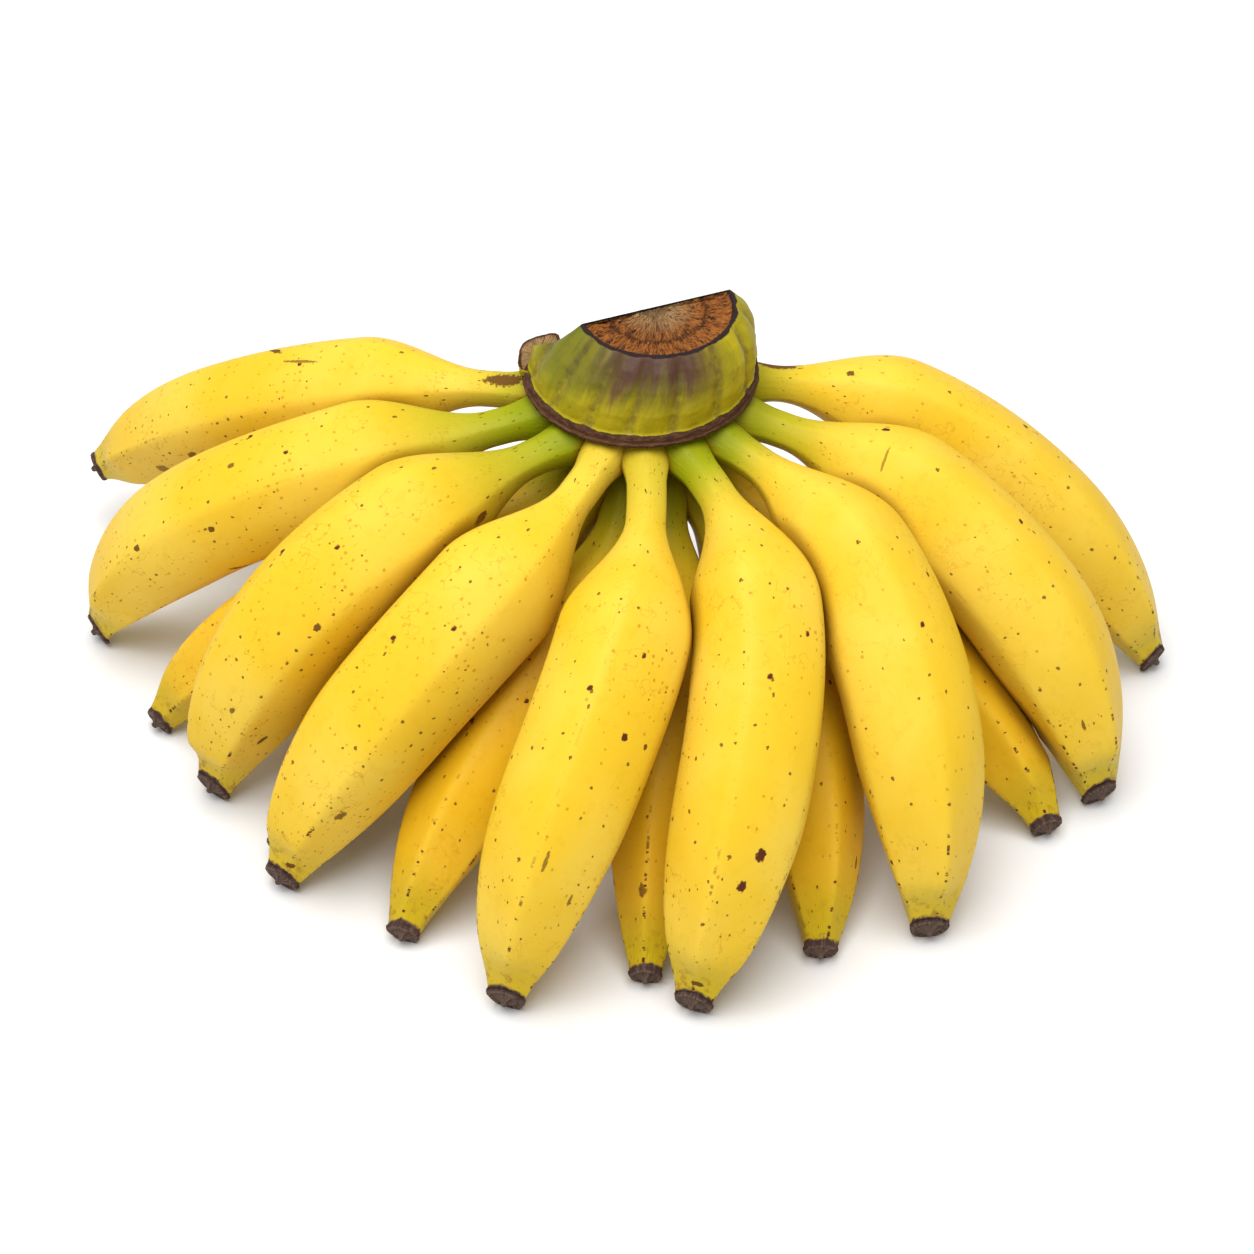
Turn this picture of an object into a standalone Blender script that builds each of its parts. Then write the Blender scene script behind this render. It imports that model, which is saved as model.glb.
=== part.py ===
"""A hand of fifteen small bananas in two rows on one crown, lying on its blossom ends.

Sizes are in millimetres until the meshes are made, which are in metres. +Z is up and the floor is
z = 0. X runs across the hand, and -Y is the side towards which the fingers spread. A bearing is an
angle in degrees round the crown, from +X (0) through -Y (90) to -X (180). A pitch is the angle of a
direction above the horizontal.
"""

import math
from collections import namedtuple

import bmesh
import bpy
import numpy as np
from mathutils import Vector

METRES = 0.001

# The middle of the hand's outline on the floor, which becomes the origin
ORIGIN = np.array([-2.0, -40.0, 0.0])

# The crown, where all the stems meet
CROWN_AXIS = np.array([3.0, -2.0])
RIM_HEIGHT = 79.6
RIM_RADIUS = 27.2
RIM_THICKNESS = 3.2
RIM_ARC = (-14.0, 194.0)
RIM_EDGE = 0.8
CUT_AXIS = np.array([6.5, -1.0])
CUT_HEIGHT = 98.0
CUT_RADIUS = 17.8
CUT_ARC = (-21.0, 159.0)
CUT_EDGE = 1.5
CUT_DEPTH = 2.2
HUB_RADIUS = 20.2
HUB_FOOT_RADIUS = 14.5
HUB_DEPTH = 25.0
STUB_CENTRE = np.array([-19.6, -0.6])
STUB_RADII = np.array([4.4, 4.0])
STUB_TOP = 88.0
STUB_HOLLOW = 0.6
STUB_SIDES = 12
GROOVE_DEPTH = 0.9
GROOVE_COUNT = 15
CROWN_ARC_POINTS = 60
CROWN_BACK_POINTS = 12

# The stems, in two rows one above the other
ROW_HEIGHT = {"upper": 74.2, "lower": 61.0}
ROW_RADIUS = {"upper": 20.9, "lower": 18.4}
STEM_RADIUS = 4.6
STEM_FLATTENING = 0.9

# The fruit
RIDGE_COUNT = 5
FINGER_SIDES = 15
AXIS_SAMPLES = 121
BODY_RINGS = 11
SHOULDER_LENGTH = 30.0
TAPER_LENGTH = 58.0
TAPER_POWER = 3.0
TAPER_SOFTNESS = 1.25
TAPER_STOP = 1.5
NECK_LENGTH = 45.0
NECK_RINGS = (14.5, 9.0, 4.5, 0.6)
BELLY_SHARPNESS = 0.28
NECK_SHARPNESS = 0.78
CAP_LENGTH = 1.3
CAP_SHARE = 0.15
CAP_LIP = 0.25
CAP_EDGE = 0.5
NIB_LENGTH = 1.8
NIB_RADIUS = 1.0
FACE_PITCH = -28.0
FACE_TURN_LENGTH = 15.0

# Fingers press flat against each other this far apart, and are worn flat by the floor this deep
CONTACT_GAP = 0.9
FLOOR_PRESS = 0.5
BISECTION_STEPS = 14

# Which of a finger's or the crown's three materials a band has
SKIN = 0
STEM = 1
TIP = 2
RIM = 1
CUT = 2
SHARP_ANGLE = math.radians(40)

SKIN_YELLOW = (0.93, 0.61, 0.03, 1.0)
STEM_GREEN = (0.45, 0.50, 0.04, 1.0)
TIP_BROWN = (0.06, 0.035, 0.03, 1.0)
CROWN_OLIVE = (0.30, 0.30, 0.05, 1.0)
RIM_BROWN = (0.07, 0.03, 0.018, 1.0)
CUT_BROWN = (0.36, 0.14, 0.04, 1.0)

# root: bearing of the stem on the crown. heading and pitch: the way the stem leaves it.
# tip: x and y of the blossom end, lift its height over a resting one, then its heading and pitch.
# arch: how far each end holds its direction, as a share of the straight length.
# stem: length of the narrow part. girth: widest diameter. roll: turn of the ridges.
Finger = namedtuple(
    "Finger",
    "name row root heading pitch tip lift tip_heading tip_pitch arch stem girth roll",
)

FINGERS = [
    Finger("banana_upper_1", "upper", 180, 196, -5, (-132, 40), 14, 204, -38, 0.39, 15, 26, 10),
    Finger("banana_upper_2", "upper", 161, 165, -8, (-128, -5), 0, 185, -64, 0.40, 14, 29, 25),
    Finger("banana_upper_3", "upper", 131, 147, 0, (-95, -58), 0, 150, -72, 0.42, 13, 31, 5),
    Finger("banana_upper_4", "upper", 110, 111, 0, (-77, -86), 0, 145, -62, 0.42, 17, 30, 30),
    Finger("banana_upper_5", "upper", 88, 85, -4, (-26, -121), 0, 120, -66, 0.42, 21, 30, 0),
    Finger("banana_upper_6", "upper", 67, 55, -4, (14, -122), 0, 122, -66, 0.42, 17, 30, 20),
    Finger("banana_upper_7", "upper", 44, 36, -4, (66, -101), 0, 84, -68, 0.42, 14, 30, 8),
    Finger("banana_upper_8", "upper", 20, 14, -8, (108, -60), 0, 50, -70, 0.40, 14, 30, 15),
    Finger("banana_upper_9", "upper", -10, -9, -5, (126, -15), 0, 18, -60, 0.39, 11, 26, 30),
    Finger("banana_lower_1", "lower", 146, 152, -34, (-110, -36), 0, 162, -52, 0.40, 6, 25, 12),
    Finger("banana_lower_2", "lower", 120, 136, -42, (-78, -76), 0, 130, -34, 0.36, 6, 24, 22),
    Finger("banana_lower_3", "lower", 99, 106, -36, (-49, -102), 0, 118, -44, 0.38, 6, 26, 5),
    Finger("banana_lower_4", "lower", 74, 81, -36, (4, -114), 0, 96, -38, 0.36, 6, 25, 16),
    Finger("banana_lower_5", "lower", 55, 48, -38, (42, -107), 0, 92, -38, 0.38, 6, 26, 0),
    Finger("banana_lower_6", "lower", 32, 28, -36, (95, -70), 0, 56, -40, 0.38, 6, 26, 28),
]


def smooth(value, start, end):
    """A soft step from 0 at start to 1 at end."""
    t = np.clip((value - start) / (end - start), 0.0, 1.0)
    return t * t * (3.0 - 2.0 * t)


def direction(bearing, pitch):
    """The unit vector of a bearing and a pitch."""
    b = math.radians(bearing)
    p = math.radians(pitch)
    return np.array([math.cos(b) * math.cos(p), -math.sin(b) * math.cos(p), math.sin(p)])


def cap_radius(finger):
    """Radius of the dark blossom end, which is a fixed share of the finger's girth."""
    return CAP_SHARE * finger.girth


def face_turn(finger):
    """How far the blossom end turns up from the axis, so that it faces outwards, as an angle."""
    return math.radians(max(FACE_PITCH - finger.tip_pitch, 0.0))


def resting_height(finger):
    """Height of a blossom end's centre when the lowest point of its cap is pressed on the floor."""
    p = math.radians(-finger.tip_pitch) - face_turn(finger)
    nib_reach = NIB_LENGTH * math.sin(p) + NIB_RADIUS * math.cos(p)
    edge_reach = cap_radius(finger) * math.cos(p) - CAP_EDGE * math.sin(p)
    return max(nib_reach, edge_reach) - FLOOR_PRESS


def axis_curve(finger):
    """Evenly spaced points on a finger's axis, with two unit vectors across it at each point."""
    root = np.append(CROWN_AXIS, 0.0) + direction(finger.root, 0) * ROW_RADIUS[finger.row]
    root[2] = ROW_HEIGHT[finger.row]
    tip = np.array([*finger.tip, resting_height(finger) + finger.lift])
    handle = finger.arch * np.linalg.norm(tip - root)
    leaving = root + handle * direction(finger.heading, finger.pitch)
    arriving = tip - handle * direction(finger.tip_heading, finger.tip_pitch)

    t = np.linspace(0.0, 1.0, 4 * AXIS_SAMPLES)[:, None]
    curve = (
        (1 - t) ** 3 * root
        + 3 * t * (1 - t) ** 2 * leaving
        + 3 * t**2 * (1 - t) * arriving
        + t**3 * tip
    )
    travelled = np.append(0.0, np.cumsum(np.linalg.norm(np.diff(curve, axis=0), axis=1)))
    even = np.linspace(0.0, travelled[-1], AXIS_SAMPLES)
    points = np.stack([np.interp(even, travelled, curve[:, i]) for i in range(3)], axis=1)

    tangents = np.gradient(points, axis=0)
    tangents /= np.linalg.norm(tangents, axis=1)[:, None]
    backs = np.empty_like(points)
    back = np.array([0.0, 0.0, 1.0])
    for i, tangent in enumerate(tangents):
        back = back - back.dot(tangent) * tangent
        back /= np.linalg.norm(back)
        backs[i] = back
    return even, points, backs, np.cross(tangents, backs)


def finger_radius(finger, along, length):
    """Radius out to the ridges at a distance along the axis, without the cap."""
    shoulder = smooth(along, finger.stem, finger.stem + SHOULDER_LENGTH)
    past_belly = np.clip((along - length + TAPER_LENGTH) / (TAPER_LENGTH - TAPER_STOP), 0.0, 1.0)
    taper = (1.0 - past_belly**TAPER_POWER) ** TAPER_SOFTNESS
    tip_side = smooth(along, finger.stem, length)
    slim = STEM_RADIUS + (cap_radius(finger) - STEM_RADIUS) * tip_side
    return slim + (0.5 * finger.girth - slim) * shoulder * taper


def section(angle, sharpness):
    """A rounded pentagon: 1 on the ridges, less between them the higher the sharpness."""
    step = 2.0 * math.pi / RIDGE_COUNT
    off_middle = np.mod(angle, step) - 0.5 * step
    return (math.cos(0.5 * step) / np.cos(off_middle)) ** sharpness


def ridge_sharpness(along, length):
    """The ridges are soft on the belly, stand out where the fruit narrows and fade on the cap."""
    neck = smooth(along, length - NECK_LENGTH, length - NECK_RINGS[0])
    cap = smooth(along, length - CAP_LENGTH - NECK_RINGS[2], length - CAP_LENGTH)
    return BELLY_SHARPNESS + (NECK_SHARPNESS - BELLY_SHARPNESS) * (neck - cap)


def finger_rings(finger, length):
    """Place, radius and material of each ring along a finger, from the stem's end to the nib."""
    cap_start = length - CAP_LENGTH
    stem = [0.0, 0.5 * finger.stem, finger.stem - 2.0]
    body = np.linspace(finger.stem + 5.0, length - 0.6 * NECK_LENGTH, BODY_RINGS)
    neck = [cap_start - gap for gap in NECK_RINGS]
    along = np.concatenate([stem, body, neck])
    slots = [STEM] * len(stem) + [SKIN] * (len(body) + len(neck) - 1) + [TIP]
    rings = list(zip(along, finger_radius(finger, along, length), slots))

    # the dark cap: a small step out, a blunt end and the nib left by the flower
    blunt = cap_radius(finger)
    return rings + [
        (cap_start, blunt + CAP_LIP, TIP),
        (length - CAP_EDGE, blunt, TIP),
        (length, blunt - CAP_EDGE, TIP),
        (length, NIB_RADIUS + 0.5 * CAP_EDGE, TIP),
        (length + NIB_LENGTH, NIB_RADIUS, TIP),
    ]


def finger_loops(finger):
    """A loop of points for each ring, the rings' centres, and the material of each band."""
    even, points, backs, across = axis_curve(finger)
    length = even[-1]
    turn = np.linspace(0.0, 2.0 * math.pi, FINGER_SIDES, endpoint=False)
    rolled = turn + math.radians(finger.roll)
    rings = finger_rings(finger, length)
    loops = []
    centres = []
    for place, radius, _ in rings:
        centre = np.array([np.interp(place, even, points[:, i]) for i in range(3)])
        up = np.array([np.interp(place, even, backs[:, i]) for i in range(3)])
        side = np.array([np.interp(place, even, across[:, i]) for i in range(3)])
        forward = np.cross(up, side)
        turned = face_turn(finger) * smooth(place, length - FACE_TURN_LENGTH, length - CAP_LENGTH)
        forward, up = (
            math.cos(turned) * forward + math.sin(turned) * up,
            math.cos(turned) * up - math.sin(turned) * forward,
        )
        if place > length - CAP_LENGTH:
            centre = points[-1] + (place - length) * forward
        fruit_share = smooth(place, finger.stem, finger.stem + SHOULDER_LENGTH)
        up *= STEM_FLATTENING + (1.0 - STEM_FLATTENING) * fruit_share
        reach = radius * section(turn, ridge_sharpness(place, length))[:, None]
        loops.append(centre + reach * (np.cos(rolled)[:, None] * up + np.sin(rolled)[:, None] * side))
        centres.append(centre)
    return np.array(loops), np.array(centres), [slot for _, _, slot in rings]


def signed_distance(places, axis, radii):
    """Distance from a finger's round outline, negative inside it."""
    gaps = np.linalg.norm(places[:, None, :] - axis[None, :, :], axis=2) - radii[None, :]
    return gaps.min(axis=1)


def press_together(all_loops):
    """Draw in each ring where two fingers would share space, so that they meet on a flat between them."""
    outlines = []
    for finger in FINGERS:
        even, points, _, _ = axis_curve(finger)
        outlines.append((points, finger_radius(finger, even, even[-1])))

    pressed = []
    for index, (loops, centres, _) in enumerate(all_loops):
        places = loops.reshape(-1, 3).copy()
        middles = np.repeat(centres, loops.shape[1], axis=0)
        own_axis, own_radii = outlines[index]
        for other, (axis, radii) in enumerate(outlines):
            if other == index:
                continue
            near = signed_distance(places, axis, radii) < CONTACT_GAP
            if not near.any():
                continue
            low = np.zeros(near.sum())
            high = np.ones(near.sum())
            for _ in range(BISECTION_STEPS):
                share = 0.5 * (low + high)
                trial = middles[near] + share[:, None] * (places[near] - middles[near])
                own = signed_distance(trial, own_axis, own_radii)
                clear = own - signed_distance(trial, axis, radii) < -CONTACT_GAP
                low = np.where(clear, share, low)
                high = np.where(clear, high, share)
            whole = signed_distance(places[near], own_axis, own_radii)
            free = whole - signed_distance(places[near], axis, radii) < -CONTACT_GAP
            share = np.where(free, 1.0, low)
            places[near] = middles[near] + share[:, None] * (places[near] - middles[near])
        pressed.append(places.reshape(loops.shape))
    return pressed


def material(name, colour, roughness):
    """A plain Principled material."""
    made = bpy.data.materials.new(name)
    made.use_nodes = True
    shader = made.node_tree.nodes["Principled BSDF"]
    shader.inputs["Base Color"].default_value = colour
    shader.inputs["Roughness"].default_value = roughness
    shader.inputs["Metallic"].default_value = 0.0
    made.diffuse_color = colour
    return made


def skin_over(loops, band_slots):
    """A closed mesh over rings of equal count, with a fan over each end."""
    bm = bmesh.new()
    rings = [[bm.verts.new(Vector(point)) for point in loop] for loop in loops]
    count = len(rings[0])
    for lower, upper, slot in zip(rings, rings[1:], band_slots):
        for i in range(count):
            j = (i + 1) % count
            face = bm.faces.new((lower[i], lower[j], upper[j], upper[i]))
            face.material_index = slot
    ends = ((rings[0], band_slots[0], False), (rings[-1], band_slots[-1], True))
    for ring, slot, forward in ends:
        middle = bm.verts.new(sum((v.co for v in ring), Vector()) / count)
        for i in range(count):
            a, b = ring[i], ring[(i + 1) % count]
            face = bm.faces.new((a, b, middle) if forward else (b, a, middle))
            face.material_index = slot
    bmesh.ops.recalc_face_normals(bm, faces=bm.faces)
    return bm


def wear_on_floor(bm):
    """Cut away what lies below the floor and close it with a flat."""
    geometry = bm.verts[:] + bm.edges[:] + bm.faces[:]
    cut = bmesh.ops.bisect_plane(
        bm, geom=geometry, plane_co=(0, 0, 0), plane_no=(0, 0, 1), clear_inner=True
    )
    edges = [e for e in cut["geom_cut"] if isinstance(e, bmesh.types.BMEdge)]
    if edges:
        bmesh.ops.holes_fill(bm, edges=edges)


def finish_object(name, bm, place, materials, parent):
    """Turn a mesh in millimetres into a named object at its place, in metres."""
    for vertex in bm.verts:
        vertex.co = (vertex.co - Vector(place)) * METRES
    mesh = bpy.data.meshes.new(name)
    bm.to_mesh(mesh)
    bm.free()
    for item in materials:
        mesh.materials.append(item)
    mesh.shade_smooth()
    mesh.set_sharp_from_angle(angle=SHARP_ANGLE)
    made = bpy.data.objects.new(name, mesh)
    bpy.context.scene.collection.objects.link(made)
    made.location = Vector(place - ORIGIN) * METRES
    made.parent = parent
    return made


def build_fingers(parent):
    """Every finger as its own solid: green stem, yellow fruit and dark blossom end."""
    all_loops = [finger_loops(finger) for finger in FINGERS]
    pressed = press_together(all_loops)
    for finger, loops, (_, _, slots) in zip(FINGERS, pressed, all_loops):
        bm = skin_over(loops, slots)
        wear_on_floor(bm)
        skins = [
            material(finger.name + "_skin", SKIN_YELLOW, 0.42),
            material(finger.name + "_stem", STEM_GREEN, 0.5),
            material(finger.name + "_tip", TIP_BROWN, 0.8),
        ]
        root = loops[0].mean(axis=0)
        finish_object(finger.name, bm, root, skins, parent)


def crown_loop(height, radius, groove):
    """One level of the crown: an arc towards the fingers, closed by the straight back."""
    rise = smooth(height, RIM_HEIGHT, CUT_HEIGHT)
    axis = CROWN_AXIS + (CUT_AXIS - CROWN_AXIS) * rise
    first, last = np.array(RIM_ARC) * (1.0 - rise) + np.array(CUT_ARC) * rise
    bearings = np.radians(np.linspace(first, last, CROWN_ARC_POINTS))
    ribs = 1.0 - groove * np.abs(np.cos(0.5 * GROOVE_COUNT * bearings)) ** 3 / radius
    arc = axis + radius * ribs[:, None] * np.stack([np.cos(bearings), -np.sin(bearings)], axis=1)
    share = np.linspace(0.0, 1.0, CROWN_BACK_POINTS + 2)[1:-1, None]
    back = arc[-1] + (arc[0] - arc[-1]) * share
    outline = np.concatenate([arc, back])
    return np.column_stack([outline, np.full(len(outline), height)])


def crown_levels():
    """Height, radius, groove depth and material of each level, from the underside to the cut face."""
    foot = RIM_HEIGHT - HUB_DEPTH
    rim_top = RIM_HEIGHT + RIM_THICKNESS
    shoulder = CUT_HEIGHT - 0.5 * CUT_EDGE
    return [
        (foot, HUB_FOOT_RADIUS - 2.0, 0.0, SKIN),
        (foot + 2.0, HUB_FOOT_RADIUS, 0.0, SKIN),
        (RIM_HEIGHT - 0.5 * HUB_DEPTH, HUB_RADIUS - 1.6, 0.0, SKIN),
        (RIM_HEIGHT - 0.6, HUB_RADIUS, 0.0, RIM),
        (RIM_HEIGHT, RIM_RADIUS - RIM_EDGE, 0.0, RIM),
        (RIM_HEIGHT + RIM_EDGE, RIM_RADIUS, 0.0, RIM),
        (rim_top - RIM_EDGE, RIM_RADIUS - 0.5 * RIM_EDGE, 0.0, RIM),
        (rim_top, RIM_RADIUS - 2.0 * RIM_EDGE, 0.0, SKIN),
        (rim_top + 4.0, RIM_RADIUS - 2.2, GROOVE_DEPTH, SKIN),
        (rim_top + 9.0, RIM_RADIUS - 4.0, GROOVE_DEPTH, SKIN),
        (rim_top + 12.5, RIM_RADIUS - 6.4, GROOVE_DEPTH, SKIN),
        (shoulder, CUT_RADIUS + CUT_EDGE, 0.5 * GROOVE_DEPTH, RIM),
        (CUT_HEIGHT, CUT_RADIUS, 0.0, CUT),
        (shoulder, CUT_RADIUS - CUT_EDGE, 0.0, CUT),
        (CUT_HEIGHT - 0.8 * CUT_DEPTH, 0.6 * CUT_RADIUS, 0.0, CUT),
        (CUT_HEIGHT - CUT_DEPTH, 0.3 * CUT_RADIUS, 0.0, CUT),
    ]


def stub_loops():
    """The short cut stalk that stands on the left end of the rim."""
    turn = np.linspace(0.0, 2.0 * math.pi, STUB_SIDES, endpoint=False)
    outline = np.stack([np.cos(turn), np.sin(turn)], axis=1) * STUB_RADII
    foot = RIM_HEIGHT + 0.5 * RIM_THICKNESS
    swelling = RIM_HEIGHT + RIM_THICKNESS + RIM_EDGE
    loops = []
    for height, size in ((foot, 0.8), (swelling, 1.0), (STUB_TOP, 0.9), (STUB_TOP - STUB_HOLLOW, 0.6)):
        ring = STUB_CENTRE + size * outline
        loops.append(np.column_stack([ring, np.full(STUB_SIDES, height)]))
    return loops


def build_crown(parent):
    """The grooved crown with its corky rim, the hub below it, the cut face and the cut stub."""
    levels = crown_levels()
    loops = [crown_loop(height, radius, groove) for height, radius, groove, _ in levels]
    bm = skin_over(loops, [slot for _, _, _, slot in levels][:-1])
    skins = [
        material("crown_skin", CROWN_OLIVE, 0.6),
        material("crown_rim", RIM_BROWN, 0.85),
        material("crown_cut", CUT_BROWN, 0.95),
    ]
    place = np.append(CROWN_AXIS, RIM_HEIGHT)
    crown = finish_object("crown", bm, place, skins, parent)

    stub_skin = skin_over(stub_loops(), [RIM, RIM, CUT])
    stub = finish_object("crown_stub_shape", stub_skin, place, skins, parent)
    stub.hide_render = True
    stub.display_type = "WIRE"
    joined = crown.modifiers.new("stub", "BOOLEAN")
    joined.operation = "UNION"
    joined.solver = "EXACT"
    joined.object = stub


def main():
    """Clear the scene and build the hand under one empty."""
    for old in list(bpy.data.objects):
        bpy.data.objects.remove(old, do_unlink=True)
    hand = bpy.data.objects.new("hand", None)
    bpy.context.scene.collection.objects.link(hand)
    build_crown(hand)
    build_fingers(hand)


main()
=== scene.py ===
"""The looks of a hand of fifteen small ripe bananas on one crown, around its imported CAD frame.

Forms are worked out in millimetres, in the hand's own frame, by the same driving sizes and curves as
the CAD part, then meshed finely and moved to the frame's origin in metres. A bearing is an angle in
degrees round the crown, from +X (0) through -Y (90) to -X (180). A pitch is the angle of a direction
above the horizontal.
"""

import math
from collections import namedtuple

import bpy
import numpy as np
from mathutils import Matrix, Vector, noise


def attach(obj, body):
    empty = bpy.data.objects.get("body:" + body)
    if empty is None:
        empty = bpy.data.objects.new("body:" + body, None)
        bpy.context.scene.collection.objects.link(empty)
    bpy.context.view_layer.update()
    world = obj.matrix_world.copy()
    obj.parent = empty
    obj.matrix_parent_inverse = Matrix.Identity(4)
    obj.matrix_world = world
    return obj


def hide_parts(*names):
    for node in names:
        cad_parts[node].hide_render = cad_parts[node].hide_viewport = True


METRES = 0.001

# The middle of the hand's outline on the floor, which becomes the origin
ORIGIN = np.array([-2.0, -40.0, 0.0])

# The crown, where all the stems meet
CROWN_AXIS = np.array([3.0, -2.0])
RIM_HEIGHT = 79.6
RIM_RADIUS = 27.2
RIM_THICKNESS = 3.2
RIM_LINE = -0.11
RIM_ARC = (-14.0, 194.0)
CUT_AXIS = np.array([6.5, -1.0])
CUT_HEIGHT = 98.0
CUT_RADIUS = 17.8
CUT_ARC = (-21.0, 159.0)
HUB_RADIUS = 20.2
HUB_FOOT_RADIUS = 14.5
HUB_DEPTH = 25.0
STUB_CENTRE = np.array([-19.6, -0.6])
STUB_RADII = np.array([4.4, 4.0])
STUB_TOP = 88.0
STUB_SLANT = 0.6
STUB_UPHILL = np.array([0.6, 0.8])
STUB_SIDES = 64
STUB_LEVELS = 42
STUB_ROUGHNESS = 0.3
GROOVE_DEPTH = 1.2
GROOVE_COUNT = 15
GROOVE_SHARPNESS = 5
PANEL_DRIFT = 0.05
SKIN_ROUGHNESS = 0.12
CORK_ROUGHNESS = 0.06
CUT_ROUGHNESS = 0.3
FIBRE_HEIGHT = 0.7

# The stems, in two rows one above the other
ROW_HEIGHT = {"upper": 74.2, "lower": 61.0}
ROW_RADIUS = {"upper": 20.9, "lower": 18.4}
STEM_RADIUS = 4.6
STEM_FLATTENING = 0.9
STEM_FLARE = 1.9
STEM_FLARE_LENGTH = 11.0

# The fruit. The ridges start to stand out at the first of NECK_RIDGES before the tip, fully at the second.
RIDGE_COUNT = 5
RIDGE_ROUNDING = 0.05
BELLY_SHARPNESS = 0.36
NECK_SHARPNESS = 1.0
NECK_RIDGES = (45.0, 14.0)
SWELLING = 0.22
CAP_RAGGEDNESS = 0.14
AXIS_SAMPLES = 121
SHOULDER_LENGTH = 30.0
TAPER_LENGTH = 58.0
TAPER_POWER = 3.0
TAPER_SOFTNESS = 1.18
TAPER_STOP = 1.5
CAP_LENGTH = 1.3
CAP_EDGE = 0.5
CAP_SHARE = 0.15
NIB_LENGTH = 1.4
NIB_RADIUS = 0.7
FACE_PITCH = -19.0
FACE_TURN_LENGTH = 15.0
FACE_SWING = 0.35
FRONT = 90.0
CONTACT_GAP = 0.15
# how far a point's gap to the other fingers is followed; these gaps also drive the painted shade where
# fingers touch
GAP_REACH = 5.0
BISECTION_STEPS = 12
FLOOR_PRESS = 0.5

# How finely the visible surfaces are meshed
FINGER_SIDES = 75
BODY_SPACING = 1.1
NECK_LENGTH = 22.0
NECK_SPACING = 0.5
CAP_SPACING = 0.3
STEM_ROOT_DEPTH = 3.0
CROWN_ARC_POINTS = 300
CROWN_BACK_POINTS = 90
CROWN_SPACING = 0.4

# The camera, placed as for the photograph
PHOTO_SIZE = 1254
VIEW_TARGET = np.array([0.002, 0.040, 0.0])
VIEW_ELEVATION = math.radians(43.0)
VIEW_DISTANCE = 0.750
VIEW_WIDTH = 0.305
SENSOR_WIDTH = 36.0

# The light and the floor, in metres and watts
LIGHT_PLACE = (-0.15, -0.20, 1.32)
LIGHT_TARGET = (0.0, 0.0, 0.04)
LIGHT_SIZE = 1.2
LIGHT_POWER = 25.0
ROOM_BRIGHTNESS = 0.48
FLOOR_REACH = 4.0

# The fingers, each row from the left to the right of the photograph.
# root: bearing of the stem on the crown. heading and pitch: the way the stem leaves it.
# tip: x and y of the blossom end, lift its height over a resting one, then its heading and pitch.
# arch: how far each end holds its direction, as a share of the straight length.
# stem: length of the narrow part. girth: widest diameter. roll: turn of the ridges.
Finger = namedtuple(
    "Finger",
    "name row root heading pitch tip lift tip_heading tip_pitch arch stem girth roll",
)

FINGERS = [
    Finger("banana_upper_1", "upper", 180, 196, -5, (-132, 40), 14, 204, -38, 0.39, 15, 26, 10),
    Finger("banana_upper_2", "upper", 161, 165, -8, (-128, -5), 0, 185, -64, 0.40, 14, 29, 25),
    Finger("banana_upper_3", "upper", 131, 147, 0, (-95, -58), 0, 150, -72, 0.42, 13, 31, 5),
    Finger("banana_upper_4", "upper", 110, 111, 0, (-77, -86), 0, 145, -62, 0.42, 17, 30, 30),
    Finger("banana_upper_5", "upper", 88, 85, -4, (-26, -121), 0, 120, -66, 0.42, 21, 30, 0),
    Finger("banana_upper_6", "upper", 67, 55, -4, (14, -122), 0, 122, -66, 0.42, 17, 30, 20),
    Finger("banana_upper_7", "upper", 44, 36, -4, (66, -101), 0, 84, -68, 0.42, 14, 30, 8),
    Finger("banana_upper_8", "upper", 20, 14, -8, (108, -60), 0, 50, -70, 0.40, 14, 30, 15),
    Finger("banana_upper_9", "upper", -10, -9, -5, (126, -15), 0, 18, -60, 0.39, 11, 26, 30),
    Finger("banana_lower_1", "lower", 146, 152, -34, (-110, -36), 0, 162, -52, 0.40, 6, 25, 12),
    Finger("banana_lower_2", "lower", 120, 136, -42, (-78, -76), 0, 130, -34, 0.36, 6, 24, 22),
    Finger("banana_lower_3", "lower", 99, 106, -36, (-49, -102), 0, 118, -44, 0.38, 6, 26, 5),
    Finger("banana_lower_4", "lower", 74, 81, -36, (4, -114), 0, 96, -38, 0.36, 6, 25, 16),
    Finger("banana_lower_5", "lower", 55, 48, -38, (42, -107), 0, 92, -38, 0.38, 6, 26, 0),
    Finger("banana_lower_6", "lower", 32, 28, -36, (95, -70), 0, 56, -40, 0.38, 6, 26, 28),
]

# stem_green: how green the stem is. green_reach: how far past the stem the green fades out, in mm.
# specks: share of the places for a speck that have one. tip_green: how green the neck of the tip is.
Ripeness = namedtuple("Ripeness", "stem_green green_reach specks tip_green")

RIPENESS = {
    "banana_upper_1": Ripeness(0.60, 12, 0.75, 0.3),
    "banana_upper_2": Ripeness(1.00, 34, 0.70, 0.4),
    "banana_upper_3": Ripeness(1.00, 30, 0.80, 0.3),
    "banana_upper_4": Ripeness(0.25, 6, 0.85, 0.2),
    "banana_upper_5": Ripeness(0.40, 14, 0.60, 0.3),
    "banana_upper_6": Ripeness(0.95, 12, 0.60, 0.5),
    "banana_upper_7": Ripeness(0.95, 10, 0.35, 0.4),
    "banana_upper_8": Ripeness(0.85, 20, 0.40, 0.5),
    "banana_upper_9": Ripeness(0.65, 12, 0.50, 0.4),
    "banana_lower_1": Ripeness(0.90, 22, 0.60, 0.4),
    "banana_lower_2": Ripeness(0.95, 28, 0.60, 0.4),
    "banana_lower_3": Ripeness(0.95, 30, 0.60, 0.5),
    "banana_lower_4": Ripeness(0.95, 30, 0.60, 0.6),
    "banana_lower_5": Ripeness(0.95, 26, 0.50, 0.6),
    "banana_lower_6": Ripeness(0.60, 12, 0.50, 0.5),
}

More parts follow.
